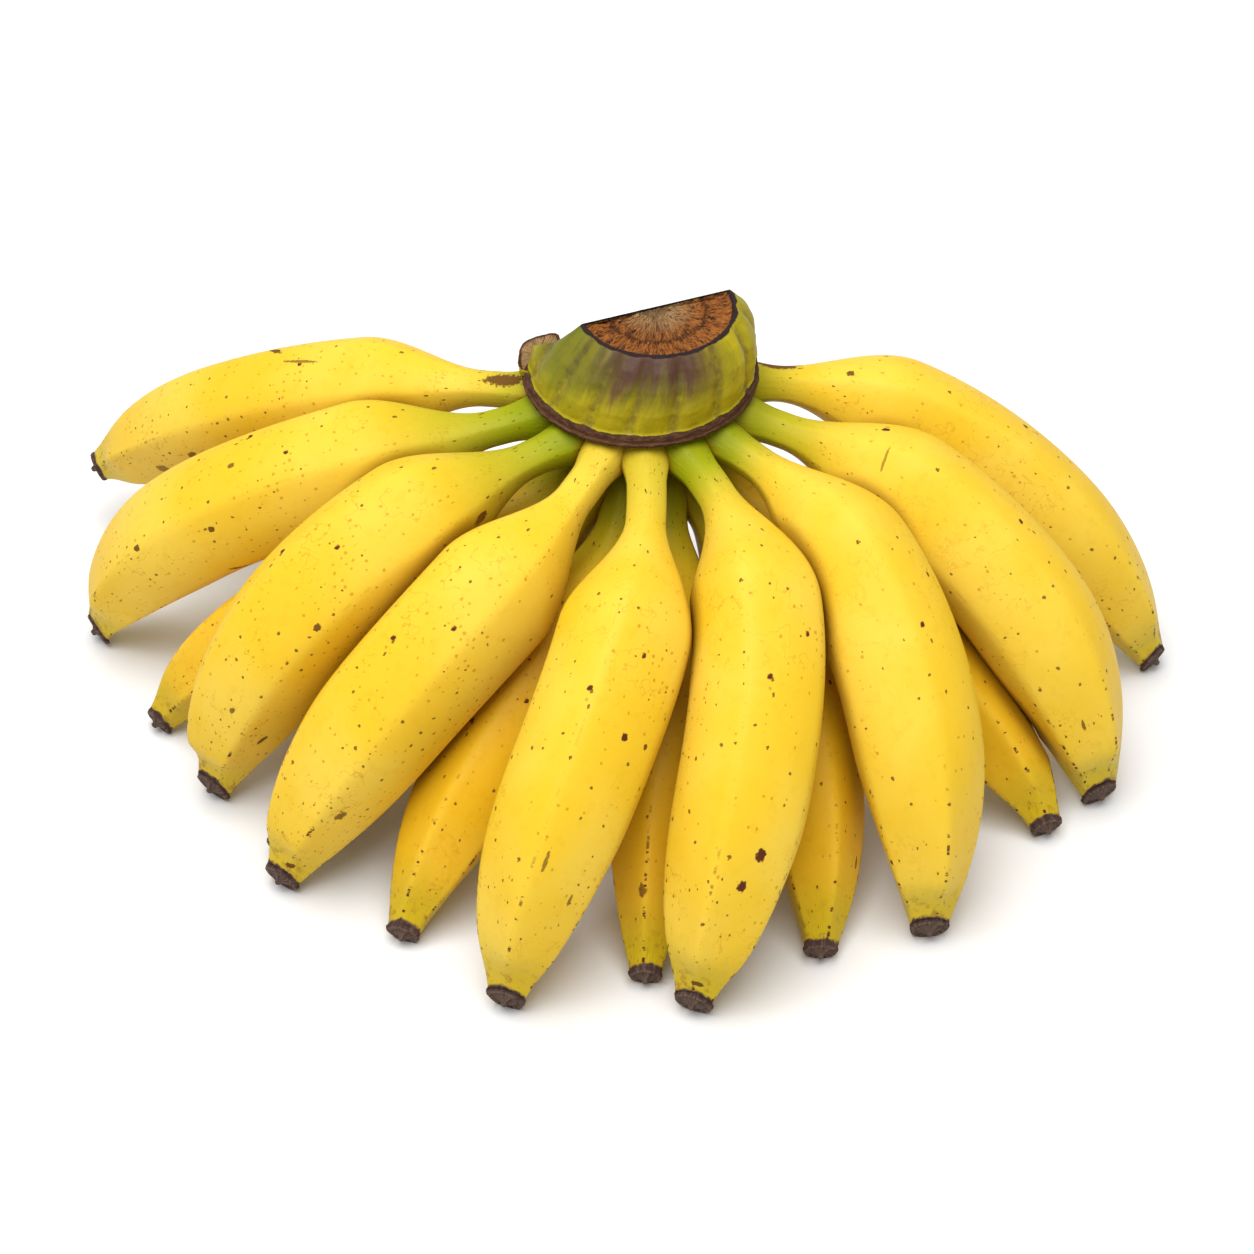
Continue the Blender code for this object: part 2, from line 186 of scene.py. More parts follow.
# at: where the mark shows, in pixels of the photograph, right and down. across and along: half its size
# on the peel, in mm. tilt: its turn on the peel in degrees. strength: how dark it is.
Mark = namedtuple("Mark", "finger at across along tilt strength")

MARKS = [
    Mark("banana_upper_1", (505, 380), 1.6, 5.0, 0, 0.9),
    Mark("banana_upper_1", (275, 351), 0.7, 2.6, 30, 0.9),
    Mark("banana_upper_1", (300, 360), 0.4, 5.0, 10, 0.7),
    Mark("banana_upper_1", (194, 455), 1.0, 1.4, 0, 0.8),
    Mark("banana_upper_1", (162, 468), 1.2, 2.2, 20, 0.7),
    Mark("banana_upper_2", (136, 547), 0.8, 0.9, 0, 0.9),
    Mark("banana_upper_2", (211, 527), 0.7, 0.8, 0, 0.9),
    Mark("banana_upper_2", (230, 465), 0.6, 0.9, 0, 0.8),
    Mark("banana_upper_2", (240, 567), 0.5, 3.0, 25, 0.8),
    Mark("banana_upper_3", (315, 627), 0.8, 0.9, 0, 0.9),
    Mark("banana_upper_3", (262, 740), 0.7, 2.0, 15, 0.9),
    Mark("banana_upper_3", (232, 710), 0.6, 0.8, 0, 0.8),
    Mark("banana_upper_3", (480, 520), 1.2, 2.8, 0, 0.9),
    Mark("banana_upper_4", (342, 815), 1.0, 1.6, 10, 0.8),
    Mark("banana_upper_4", (290, 865), 0.7, 2.2, 60, 0.9),
    Mark("banana_upper_5", (626, 735), 0.8, 0.8, 0, 1.0),
    Mark("banana_upper_5", (645, 745), 0.5, 0.6, 0, 0.9),
    Mark("banana_upper_5", (545, 860), 0.4, 3.0, 0, 0.7),
    Mark("banana_upper_5", (570, 900), 0.4, 2.4, 0, 0.7),
    Mark("banana_upper_6", (763, 855), 1.1, 1.3, 0, 1.0),
    Mark("banana_upper_6", (741, 884), 1.0, 1.2, 0, 1.0),
    Mark("banana_upper_6", (775, 905), 0.4, 4.0, 0, 0.8),
    Mark("banana_upper_6", (698, 985), 0.6, 2.0, 80, 0.9),
    Mark("banana_upper_8", (887, 431), 0.9, 0.9, 0, 1.0),
    Mark("banana_upper_8", (882, 460), 0.3, 5.0, 80, 0.6),
    Mark("banana_upper_8", (1085, 725), 0.4, 3.0, 0, 0.8),
    Mark("banana_upper_9", (776, 362), 1.8, 5.0, 0, 0.9),
    Mark("banana_upper_9", (848, 373), 0.8, 0.9, 0, 0.9),
    Mark("banana_upper_9", (1097, 612), 1.0, 1.6, 20, 0.8),
    Mark("banana_lower_4", (642, 890), 0.9, 1.6, 0, 0.8),
    Mark("banana_lower_5", (857, 862), 0.4, 3.4, 0, 0.8),
]

# scale: cells per mm, which may hold one speck each. size: width of the smallest, in mm, a third of the
# largest. share: about how many of the cells hold one. shift: moves the layer over the peel, in mm.
SpeckLayer = namedtuple("SpeckLayer", "scale size share shift")

FAINT_SPECKS = SpeckLayer(0.50, 0.26, 0.30, (9.0, 4.0, 0.0))
SMALL_SPECKS = SpeckLayer(0.30, 0.28, 0.30, (0.0, 0.0, 0.0))
LARGE_SPECKS = SpeckLayer(0.11, 0.28, 0.07, (31.0, 7.0, 0.0))

# Gloss and light under the skin
PEEL_GLOSS = 0.13
PEEL_ROUGHNESS = 0.40
PEEL_GLOW = 0.03
PEEL_GLOW_COLOUR = (1.0, 0.55, 0.12)
PEEL_GLOW_DEPTH = 0.0022
CROWN_GLOSS = 0.2
CROWN_ROUGHNESS = 0.45
FLOOR_GLOSS = 0.1
FLOOR_ROUGHNESS = 0.9

# Colours, as linear red, green and blue
YELLOW = (0.760, 0.480, 0.020)
PALE_YELLOW = (0.790, 0.540, 0.055)
DEEP_YELLOW = (0.630, 0.340, 0.004)
# painted shade: the lower row, lying under the upper one, is mixed by a fixed share towards deep yellow
ROW_SHADE_SHARE = {"upper": 0.0, "lower": 0.65}
LEAF_GREEN = (0.260, 0.300, 0.001)
DARK_GREEN = (0.095, 0.120, 0.002)
NECK_GREEN = (0.420, 0.340, 0.004)
SPECK_BROWN = (0.095, 0.024, 0.008)
SPECK_FAINT = (0.450, 0.170, 0.008)
NECK_STAIN = (0.240, 0.110, 0.015)
# painted shade: brown where the peel lies close against another finger
CONTACT_SHADE_BROWN = (0.260, 0.110, 0.002)
TIP_BROWN = (0.060, 0.030, 0.026)
TIP_GREY = (0.150, 0.105, 0.075)
CROWN_OLIVE = (0.145, 0.130, 0.006)
CROWN_GREEN = (0.125, 0.150, 0.008)
CROWN_YELLOW = (0.380, 0.310, 0.005)
STAIN_PURPLE = (0.075, 0.034, 0.020)
RIM_BROWN = (0.050, 0.020, 0.012)
RIM_PALE = (0.150, 0.066, 0.032)
RING_BLACK = (0.026, 0.014, 0.014)
FIBRE_ORANGE = (0.420, 0.140, 0.025)
FIBRE_BEIGE = (0.560, 0.350, 0.160)
FIBRE_DARK = (0.050, 0.020, 0.010)
FLOOR_WHITE = (0.780, 0.780, 0.780)
ROOM_WHITE = (1.0, 1.0, 1.0, 1.0)


def smooth(value, start, end):
    """A soft step from 0 at start to 1 at end."""
    t = np.clip((value - start) / (end - start), 0.0, 1.0)
    return t * t * (3.0 - 2.0 * t)


def direction(bearing, pitch):
    """The unit vector of a bearing and a pitch."""
    b = math.radians(bearing)
    p = math.radians(pitch)
    return np.array([math.cos(b) * math.cos(p), -math.sin(b) * math.cos(p), math.sin(p)])


def cap_radius(finger):
    """Radius of the dark blossom end, which is a fixed share of the finger's girth."""
    return CAP_SHARE * finger.girth


def face_turn(finger):
    """How far the blossom end turns up from the axis, so that it faces outwards, as an angle."""
    return math.radians(max(FACE_PITCH - finger.tip_pitch, 0.0))


def resting_height(finger):
    """Height of a blossom end's centre when the lowest point of its cap is pressed on the floor."""
    p = math.radians(-finger.tip_pitch) - face_turn(finger)
    nib_reach = NIB_LENGTH * math.sin(p) + NIB_RADIUS * math.cos(p)
    edge_reach = cap_radius(finger) * math.cos(p) - CAP_EDGE * math.sin(p)
    return max(nib_reach, edge_reach) - FLOOR_PRESS


def face_direction(finger):
    """The way a blossom end faces: outwards, and a little towards the front of the hand."""
    heading = finger.tip_heading + FACE_SWING * (FRONT - finger.tip_heading)
    return direction(heading, max(FACE_PITCH, finger.tip_pitch))


def swung(vectors, start, goal, share):
    """Vectors turned with the turn that takes start to goal, each by its own share of the angle."""
    axis = np.cross(start, goal)
    sine = np.linalg.norm(axis, axis=1)[:, None]
    axis /= sine + 1e-9
    angle = share * np.arctan2(sine, (start * goal).sum(axis=1)[:, None])
    along = (vectors * axis).sum(axis=1)[:, None] * axis
    return along + np.cos(angle) * (vectors - along) + np.sin(angle) * np.cross(axis, vectors)


def axis_curve(finger):
    """Evenly spaced points on a finger's axis, with two unit vectors across it at each point."""
    root = np.append(CROWN_AXIS, 0.0) + direction(finger.root, 0) * ROW_RADIUS[finger.row]
    root[2] = ROW_HEIGHT[finger.row]
    tip = np.array([*finger.tip, resting_height(finger) + finger.lift])
    handle = finger.arch * np.linalg.norm(tip - root)
    leaving = root + handle * direction(finger.heading, finger.pitch)
    arriving = tip - handle * direction(finger.tip_heading, finger.tip_pitch)

    t = np.linspace(0.0, 1.0, 4 * AXIS_SAMPLES)[:, None]
    curve = (
        (1 - t) ** 3 * root
        + 3 * t * (1 - t) ** 2 * leaving
        + 3 * t**2 * (1 - t) * arriving
        + t**3 * tip
    )
    travelled = np.append(0.0, np.cumsum(np.linalg.norm(np.diff(curve, axis=0), axis=1)))
    even = np.linspace(0.0, travelled[-1], AXIS_SAMPLES)
    points = np.stack([np.interp(even, travelled, curve[:, i]) for i in range(3)], axis=1)

    tangents = np.gradient(points, axis=0)
    tangents /= np.linalg.norm(tangents, axis=1)[:, None]
    backs = np.empty_like(points)
    back = np.array([0.0, 0.0, 1.0])
    for i, tangent in enumerate(tangents):
        back = back - back.dot(tangent) * tangent
        back /= np.linalg.norm(back)
        backs[i] = back
    return even, points, backs, np.cross(tangents, backs)


def finger_radius(finger, along, length):
    """Radius out to the ridges at a distance along the axis, without the cap."""
    shoulder = smooth(along, finger.stem, finger.stem + SHOULDER_LENGTH)
    past_belly = np.clip((along - length + TAPER_LENGTH) / (TAPER_LENGTH - TAPER_STOP), 0.0, 1.0)
    taper = (1.0 - past_belly**TAPER_POWER) ** TAPER_SOFTNESS
    tip_side = smooth(along, finger.stem, length)
    slim = STEM_RADIUS + (cap_radius(finger) - STEM_RADIUS) * tip_side
    return slim + (0.5 * finger.girth - slim) * shoulder * taper


def section(angle, sharpness):
    """A rounded pentagon: 1 on the ridges, less between them the higher the sharpness."""
    step = 2.0 * math.pi / RIDGE_COUNT
    off_middle = np.abs(np.mod(angle, step) - 0.5 * step)
    off_ridge = np.sqrt((0.5 * step - off_middle) ** 2 + RIDGE_ROUNDING**2)
    return (math.cos(0.5 * step) / np.cos(0.5 * step - off_ridge)) ** sharpness


def ridge_sharpness(along, length):
    """The ridges are soft on the belly, stand out where the fruit narrows and fade on the cap."""
    neck = smooth(along, length - NECK_RIDGES[0], length - NECK_RIDGES[1])
    cap = smooth(along, length - CAP_LENGTH - 4.5, length - CAP_LENGTH)
    return BELLY_SHARPNESS + (NECK_SHARPNESS - BELLY_SHARPNESS) * (neck - 0.8 * cap)


def ring_places(finger, length):
    """Distance along the axis and radius of every ring, from inside the crown to the nib."""
    body = np.arange(-STEM_ROOT_DEPTH, length - NECK_LENGTH, BODY_SPACING)
    neck = np.arange(length - NECK_LENGTH, length - CAP_LENGTH, NECK_SPACING)
    along = np.concatenate([body, neck])
    radii = finger_radius(finger, along, length)
    radii = radii + STEM_FLARE * (1.0 - smooth(along, -1.0, STEM_FLARE_LENGTH))

    blunt = cap_radius(finger)
    cap = [
        (length - CAP_LENGTH, blunt - 0.05),
        (length - CAP_LENGTH + 0.25, blunt + 0.25),
        (length - CAP_EDGE, blunt + 0.1),
        (length - 0.1, blunt - 0.2),
        (length, blunt - 0.6),
        (length - 0.35, blunt - 1.3),
        (length + 0.1, NIB_RADIUS + 0.9),
        (length + 0.5, NIB_RADIUS + 0.1),
        (length + NIB_LENGTH - 0.3, NIB_RADIUS),
        (length + NIB_LENGTH, NIB_RADIUS - 0.4),
    ]
    corners = np.array(cap)
    travelled = np.append(0.0, np.cumsum(np.hypot(*np.diff(corners, axis=0).T)))
    steps = np.arange(0.0, travelled[-1], CAP_SPACING)
    along = np.append(along, np.interp(steps, travelled, corners[:, 0]))
    radii = np.append(radii, np.interp(steps, travelled, corners[:, 1]))
    return along, radii


def unevenness(finger, along, turn, length):
    """Small slow swellings of a fruit and the ragged edge of its cap, as lengths."""
    rng = np.random.default_rng(sum(finger.name.encode()))
    body = smooth(along, finger.stem, finger.stem + SHOULDER_LENGTH)
    body = body * (1.0 - smooth(along, length - 20.0, length - 6.0))
    waves = np.zeros((len(along), len(turn)))
    for count in (1, 2, 3, 3):
        pace = rng.uniform(0.03, 0.09)
        start, shift = rng.uniform(0.0, 2.0 * math.pi, 2)
        waves += np.sin(pace * along[:, None] + start) * np.cos(count * turn[None, :] + shift)
    ragged = np.zeros(len(turn))
    for count in (3, 5, 8, 13):
        ragged += np.sin(count * turn + rng.uniform(0.0, 2.0 * math.pi)) / math.sqrt(count)
    cap = smooth(along, length - CAP_LENGTH - 0.4, length - CAP_LENGTH + 0.2) * (along < length)
    return SWELLING * waves * body[:, None] + CAP_RAGGEDNESS * ragged[None, :] * cap[:, None]


def finger_surface(finger):
    """Rings of points of a finger, each ring's centre, and the same points on a straightened fruit."""
    even, points, backs, across = axis_curve(finger)
    length = even[-1]
    along, radii = ring_places(finger, length)
    turn = np.linspace(0.0, 2.0 * math.pi, FINGER_SIDES, endpoint=False)
    rolled = turn + math.radians(finger.roll)

    inside = np.clip(along, 0.0, length)
    centres = np.stack([np.interp(inside, even, points[:, i]) for i in range(3)], axis=1)
    up = np.stack([np.interp(inside, even, backs[:, i]) for i in range(3)], axis=1)
    side = np.stack([np.interp(inside, even, across[:, i]) for i in range(3)], axis=1)
    ahead = np.cross(up, side)
    face = np.broadcast_to(face_direction(finger), ahead.shape)
    share = smooth(along, length - FACE_TURN_LENGTH, length - CAP_LENGTH)[:, None]
    forward, up, side = (swung(vectors, ahead, face, share) for vectors in (ahead, up, side))
    centres += np.minimum(along, 0.0)[:, None] * forward
    cap = along > length - CAP_LENGTH
    centres[cap] = points[-1] + (along[cap, None] - length) * forward[cap]

    nib = smooth(along, length - 0.3, length + 0.2)[:, None]
    shape = np.array([section(turn, ridge_sharpness(place, length)) for place in along])
    shape = shape + (1.0 - shape) * nib
    reach = radii[:, None] * shape + unevenness(finger, along, turn, length)
    fruit_share = smooth(along, finger.stem, finger.stem + SHOULDER_LENGTH)
    thickness = STEM_FLATTENING + (1.0 - STEM_FLATTENING) * fruit_share
    loops = (
        centres[:, None, :]
        + (reach * np.cos(rolled) * thickness[:, None])[:, :, None] * up[:, None, :]
        + (reach * np.sin(rolled))[:, :, None] * side[:, None, :]
    )
    straight = np.stack(
        [reach * np.cos(turn), reach * np.sin(turn), np.broadcast_to(along[:, None], reach.shape)], axis=2
    )
    return loops, centres, straight, length


def signed_distance(places, axis, radii):
    """Distance from a finger's round outline, negative inside it."""
    gaps = np.linalg.norm(places[:, None, :] - axis[None, :, :], axis=2) - radii[None, :]
    return gaps.min(axis=1)


def margin(places, own_axis, own_radii, other_axis, other_radii):
    """How much nearer places are to their own finger than to another one."""
    own = signed_distance(places, own_axis, own_radii)
    return signed_distance(places, other_axis, other_radii) - own


def press_together(index, loops, centres, outlines):
    """A finger drawn in where it would share space with another, and each point's gap to the others."""
    pressed = loops.copy()
    gaps = np.full(loops.shape[:2], GAP_REACH)
    own_axis, own_radii = outlines[index]
    for other, (axis, radii) in enumerate(outlines):
        rings = signed_distance(centres, axis, radii) < own_radii.max() + GAP_REACH
        if other == index or not rings.any():
            continue
        places = pressed[rings].reshape(-1, 3)
        middles = np.repeat(centres[rings], loops.shape[1], axis=0)
        near = signed_distance(places, axis, radii) < CONTACT_GAP
        low = np.zeros(near.sum())
        high = np.ones(near.sum())
        for _ in range(BISECTION_STEPS):
            share = 0.5 * (low + high)
            trial = middles[near] + share[:, None] * (places[near] - middles[near])
            clear = margin(trial, own_axis, own_radii, axis, radii) > CONTACT_GAP
            low = np.where(clear, share, low)
            high = np.where(clear, high, share)
        free = margin(places[near], own_axis, own_radii, axis, radii) > CONTACT_GAP
        share = np.where(free, 1.0, low)
        places[near] = middles[near] + share[:, None] * (places[near] - middles[near])
        pressed[rings] = places.reshape(-1, loops.shape[1], 3)
        gap = signed_distance(places, axis, radii).reshape(-1, loops.shape[1])
        gaps[rings] = np.minimum(gaps[rings], gap)
    return pressed, gaps


def closed_faces(ring_count, side_count):
    """Quads between neighbouring rings, and triangles from each end ring to its middle point."""
    faces = []
    for ring in range(ring_count - 1):
        base = ring * side_count
        for i in range(side_count):
            j = (i + 1) % side_count
            faces.append((base + i, base + j, base + side_count + j, base + side_count + i))
    last = (ring_count - 1) * side_count
    first_middle = ring_count * side_count
    for i in range(side_count):
        j = (i + 1) % side_count
        faces.append((j, i, first_middle))
        faces.append((last + i, last + j, first_middle + 1))
    return faces


def with_ends(values):
    """The values of all ring points in one list, followed by the mean of each end ring."""
    width = values.shape[2]
    return np.concatenate([values.reshape(-1, width), values[0].mean(0)[None], values[-1].mean(0)[None]])


def add_object(name, points, faces, values):
    """A smooth mesh object from points in millimetres, with named values stored on its points."""
    mesh = bpy.data.meshes.new(name)
    mesh.from_pydata([Vector(p) for p in (points - ORIGIN) * METRES], [], faces)
    for label, numbers in values.items():
        if numbers.ndim == 2:
            stored = mesh.attributes.new(label, "FLOAT_VECTOR", "POINT")
            stored.data.foreach_set("vector", numbers.astype(np.float32).ravel())
        else:
            stored = mesh.attributes.new(label, "FLOAT", "POINT")
            stored.data.foreach_set("value", numbers.astype(np.float32))
    mesh.shade_smooth()
    made = bpy.data.objects.new(name, mesh)
    bpy.context.scene.collection.objects.link(made)
    return made


class Looks:
    """A material being made. Each method adds a node and returns the socket that it gives."""

    def __init__(self, name):
        self.material = bpy.data.materials.new(name)
        self.material.use_nodes = True
        self.tree = self.material.node_tree
        self.shader = self.tree.nodes["Principled BSDF"]

    def set(self, node, socket, value):
        """Link a socket to a node's input, or set the input where the value is a plain one."""
        if isinstance(value, bpy.types.NodeSocket):
            self.tree.links.new(value, node.inputs[socket])
        elif isinstance(value, tuple) and node.inputs[socket].type == "RGBA":
            node.inputs[socket].default_value = (*value[:3], 1.0)
        else:
            node.inputs[socket].default_value = value

    def stored(self, label, output="Fac"):
        """A value stored on the mesh."""
        node = self.tree.nodes.new("ShaderNodeAttribute")
        node.attribute_name = label
        return node.outputs[output]

    def maths(self, operation, first, second=0.0):
        """Plain arithmetic."""
        node = self.tree.nodes.new("ShaderNodeMath")
        node.operation = operation
        self.set(node, 0, first)
        self.set(node, 1, second)
        return node.outputs[0]

    def times(self, first, second):
        """One number times another."""
        return self.maths("MULTIPLY", first, second)

    def plus(self, first, second):
        """The sum of two numbers."""
        return self.maths("ADD", first, second)

    def minus(self, first, second):
        """The difference of two numbers."""
        return self.maths("SUBTRACT", first, second)

    def vector(self, operation, first, second=(0.0, 0.0, 0.0)):
        """Vector arithmetic; a length comes out as a number."""
        node = self.tree.nodes.new("ShaderNodeVectorMath")
        node.operation = operation
        self.set(node, 0, first)
        self.set(node, 1, second)
        return node.outputs["Value" if operation == "LENGTH" else "Vector"]

    def turned(self, vector, axis, angle):
        """A vector turned about an axis."""
        node = self.tree.nodes.new("ShaderNodeVectorRotate")
        self.set(node, "Vector", vector)
        self.set(node, "Axis", axis)
        self.set(node, "Angle", angle)
        return node.outputs[0]

    def noise(self, vector, scale, detail=3.0, roughness=0.5):
        """Soft noise from 0 to 1."""
        node = self.tree.nodes.new("ShaderNodeTexNoise")
        self.set(node, "Vector", vector)
        self.set(node, "Scale", scale)
        self.set(node, "Detail", detail)
        self.set(node, "Roughness", roughness)
        return node.outputs["Fac"]

    def cells(self, vector, scale):
        """Distance to the nearest point scattered over a plane, and that point's two random numbers."""
        node = self.tree.nodes.new("ShaderNodeTexVoronoi")
        node.voronoi_dimensions = "2D"
        self.set(node, "Vector", vector)
        self.set(node, "Scale", scale)
        split = self.tree.nodes.new("ShaderNodeSeparateColor")
        self.set(split, 0, node.outputs["Color"])
        return node.outputs["Distance"], split.outputs[0], split.outputs[1]

    def step(self, value, start, end):
        """A soft step from 0 at start to 1 at end, which may be the lower of the two."""
        node = self.tree.nodes.new("ShaderNodeMapRange")
        node.interpolation_type = "SMOOTHSTEP"
        rising = start < end
        self.set(node, "Value", value)
        self.set(node, "From Min", min(start, end))
        self.set(node, "From Max", max(start, end))
        self.set(node, "To Min", 0.0 if rising else 1.0)
        self.set(node, "To Max", 1.0 if rising else 0.0)
        return node.outputs[0]

    def mix(self, share, first, second):
        """A blend of two colours."""
        node = self.tree.nodes.new("ShaderNodeMix")
        node.data_type = "RGBA"
        self.set(node, 0, share)
        self.set(node, 6, first)
        self.set(node, 7, second)
        return node.outputs[2]

    def bump(self, height, distance, strength=1.0, under=None):
        """A relief of the height times the distance, on top of another one if given."""
        node = self.tree.nodes.new("ShaderNodeBump")
        self.set(node, "Height", height)
        self.set(node, "Distance", distance)
        self.set(node, "Strength", strength)
        if under is not None:
            self.set(node, "Normal", under)
        return node.outputs[0]


def specks(looks, skin, layer, share):
    """Ragged specks of mixed sizes in loose groups: 1 inside a speck, 0 outside."""
    place = looks.vector("ADD", skin, layer.shift)
    width = layer.size * layer.scale
    distance, chance, bigger = looks.cells(place, layer.scale)
    ragged = looks.times(looks.noise(place, 5.0 * layer.scale), 0.3)
    shrunk = looks.times(bigger, width)
    edge = looks.minus(looks.plus(distance, ragged), shrunk)
    inside = looks.step(edge, 0.5 * width + 0.17, 0.5 * width + 0.13)
    group = looks.step(looks.noise(place, 0.07, 2.0), 0.40, 0.62)
    allowed = looks.times(looks.plus(group, 0.25), 1.3 * layer.share * share)
    return looks.times(inside, looks.maths("LESS_THAN", chance, allowed))


def mark_shape(looks, place, centre, mark):
    """One stain or scratch with a ragged edge, at its own place on the straightened fruit."""
    outward = Vector((centre[0], centre[1], 0.0)).normalized()
    offset = looks.vector("SUBTRACT", place, tuple(float(v) for v in centre))
    offset = looks.turned(offset, tuple(outward), math.radians(mark.tilt))
    scaled = looks.vector("MULTIPLY", offset, (1 / mark.across, 1 / mark.across, 1 / mark.along))
    ragged = looks.times(looks.noise(place, 1.6, 4.0), 1.4)
    reach = looks.plus(looks.vector("LENGTH", scaled), ragged)
    return looks.times(looks.step(reach, 1.85, 1.50), mark.strength)


class Peel(Looks):
    """A peel being made, with the places and noises that its layers share."""

    def __init__(self, finger):
        super().__init__(finger.name + "_peel")
        self.finger = finger
        self.ripe = RIPENESS[finger.name]
        shift = float(sum(finger.name.encode()) % 97)
        self.place = self.stored("straight", "Vector")
        self.along = self.stored("along")
        self.to_tip = self.stored("to_tip")
        self.off_ridge = self.stored("off_ridge")
        self.skin = self.vector("ADD", self.stored("wrapped", "Vector"), (shift, 0.0, 0.0))
        self.field = self.vector("ADD", self.place, (shift, 2.0 * shift, 0.0))
        self.streaks = self.vector("MULTIPLY", self.field, (1.0, 1.0, 0.08))
        self.broad = self.noise(self.field, 0.035, 2.0)
        self.fine = self.noise(self.field, 0.35, 4.0, 0.6)
        self.fibres = self.noise(self.streaks, 0.9, 4.0, 0.6)

    def strayed(self, value, wave, reach):
        """A value moved up and down by a noise."""
        stray = self.times(self.minus(wave, 0.5), reach)
        return self.plus(value, stray)


def yellow_with_painted_light(peel):
    """Yellow, deeper and paler in slow patches, with faint mottling, painted shade that deepens the whole
    lower row and a painted highlight along the ridges.
    """
    colour = peel.mix(peel.step(peel.broad, 0.35, 0.68), YELLOW, PALE_YELLOW)
    mottling = peel.times(peel.step(peel.fine, 0.50, 0.75), 0.22)
    # painted shade: the lower row's fixed share towards deep yellow is added to the real mottling
    deep_tone_and_shade = peel.plus(mottling, ROW_SHADE_SHARE[peel.finger.row])
    colour = peel.mix(deep_tone_and_shade, colour, DEEP_YELLOW)
    # painted highlight: the ridges are mixed towards pale yellow
    ridge_highlight = peel.times(peel.step(peel.off_ridge, 2.5, 0.0), 0.15)
    return peel.mix(ridge_highlight, colour, PALE_YELLOW)


def green_ends(peel, colour):
    """The green of the stem fades smoothly into the fruit, and the neck of the tip is greenish."""
    stem = peel.finger.stem
    ripe = peel.ripe
    stem_place = peel.strayed(peel.strayed(peel.along, peel.broad, 16.0), peel.fibres, 5.0)
    green = peel.step(stem_place, stem + ripe.green_reach, stem - 8.0)
    colour = peel.mix(peel.times(green, ripe.stem_green), colour, LEAF_GREEN)
    dark = peel.times(peel.step(stem_place, 14.0, -3.0), 0.5 * ripe.stem_green)
    colour = peel.mix(dark, colour, DARK_GREEN)

    tip_place = peel.strayed(peel.to_tip, peel.fibres, 6.0)
    neck = peel.times(peel.step(tip_place, 20.0, 3.0), 0.3 + 0.6 * ripe.tip_green)
    colour = peel.mix(neck, colour, NECK_GREEN)
    blotches = peel.times(peel.step(peel.fine, 0.52, 0.66), peel.step(peel.to_tip, 12.0, 1.0))
    return peel.mix(peel.times(blotches, 0.6), colour, NECK_STAIN)


def faint_wear(peel, colour):
    """Faint specks and thin curved scuffs."""
    faint = specks(peel, peel.skin, FAINT_SPECKS, peel.ripe.specks)
    colour = peel.mix(peel.times(faint, 0.6), colour, SPECK_FAINT)
    off_curve = peel.minus(peel.noise(peel.field, 0.14, 3.0, 0.6), 0.5)
    curves = peel.step(peel.maths("ABSOLUTE", off_curve), 0.010, 0.003)
    patches = peel.step(peel.noise(peel.field, 0.055, 2.0), 0.52, 0.62)
    scuffs = peel.times(curves, peel.times(patches, 0.55))
    return peel.mix(peel.times(scuffs, peel.ripe.specks), colour, SPECK_FAINT)


def dark_spots(peel, marks):
    """Where the peel is dark: specks, broken lines on the ridges and the listed marks."""
    small = specks(peel, peel.skin, SMALL_SPECKS, peel.ripe.specks)
    large = specks(peel, peel.skin, LARGE_SPECKS, peel.ripe.specks)
    stretched = peel.vector("MULTIPLY", peel.field, (0.3, 0.3, 1.0))
    broken = peel.step(peel.noise(stretched, 0.55, 3.0, 0.7), 0.55, 0.62)
    near_tip = peel.plus(peel.step(peel.to_tip, 45.0, 12.0), 0.12)
    dashes = peel.times(broken, near_tip)
    dashes = peel.times(dashes, peel.step(peel.off_ridge, 0.42, 0.2))
    stained = peel.maths("MAXIMUM", peel.times(small, 0.8), large)
    stained = peel.maths("MAXIMUM", stained, dashes)
    for mark, centre in marks:
        stained = peel.maths("MAXIMUM", stained, mark_shape(peel, peel.place, centre, mark))
    return stained


def cap_colour(peel):
    """Dark brown, and greyer on the end face, with scars that run out from the nib."""
    colour = peel.mix(peel.times(peel.step(peel.fibres, 0.45, 0.65), 0.5), TIP_BROWN, TIP_GREY)
    around = peel.vector("NORMALIZE", peel.vector("MULTIPLY", peel.place, (1.0, 1.0, 0.0)))
    scars = peel.step(peel.noise(around, 6.0, 4.0, 0.7), 0.42, 0.58)
    face = peel.times(peel.step(peel.to_tip, 0.5, 0.1), scars)
    return peel.mix(face, colour, TIP_GREY)


def peel_relief(peel, stained):
    """Pores all over, wrinkles on the stem and the neck of the tip, and spots that are sunk a little."""
    pores = peel.noise(peel.field, 1.4, 5.0, 0.65)
    slack = peel.plus(peel.step(peel.along, 14.0, 0.0), peel.step(peel.to_tip, 16.0, 2.0))
    wrinkles = peel.times(peel.noise(peel.streaks, 1.6, 4.0), slack)
    relief = peel.bump(pores, 0.00010, 0.6)
    relief = peel.bump(wrinkles, 0.0004, 0.6, relief)
    return peel.bump(peel.minus(1.0, stained), 0.00018, 0.8, relief)


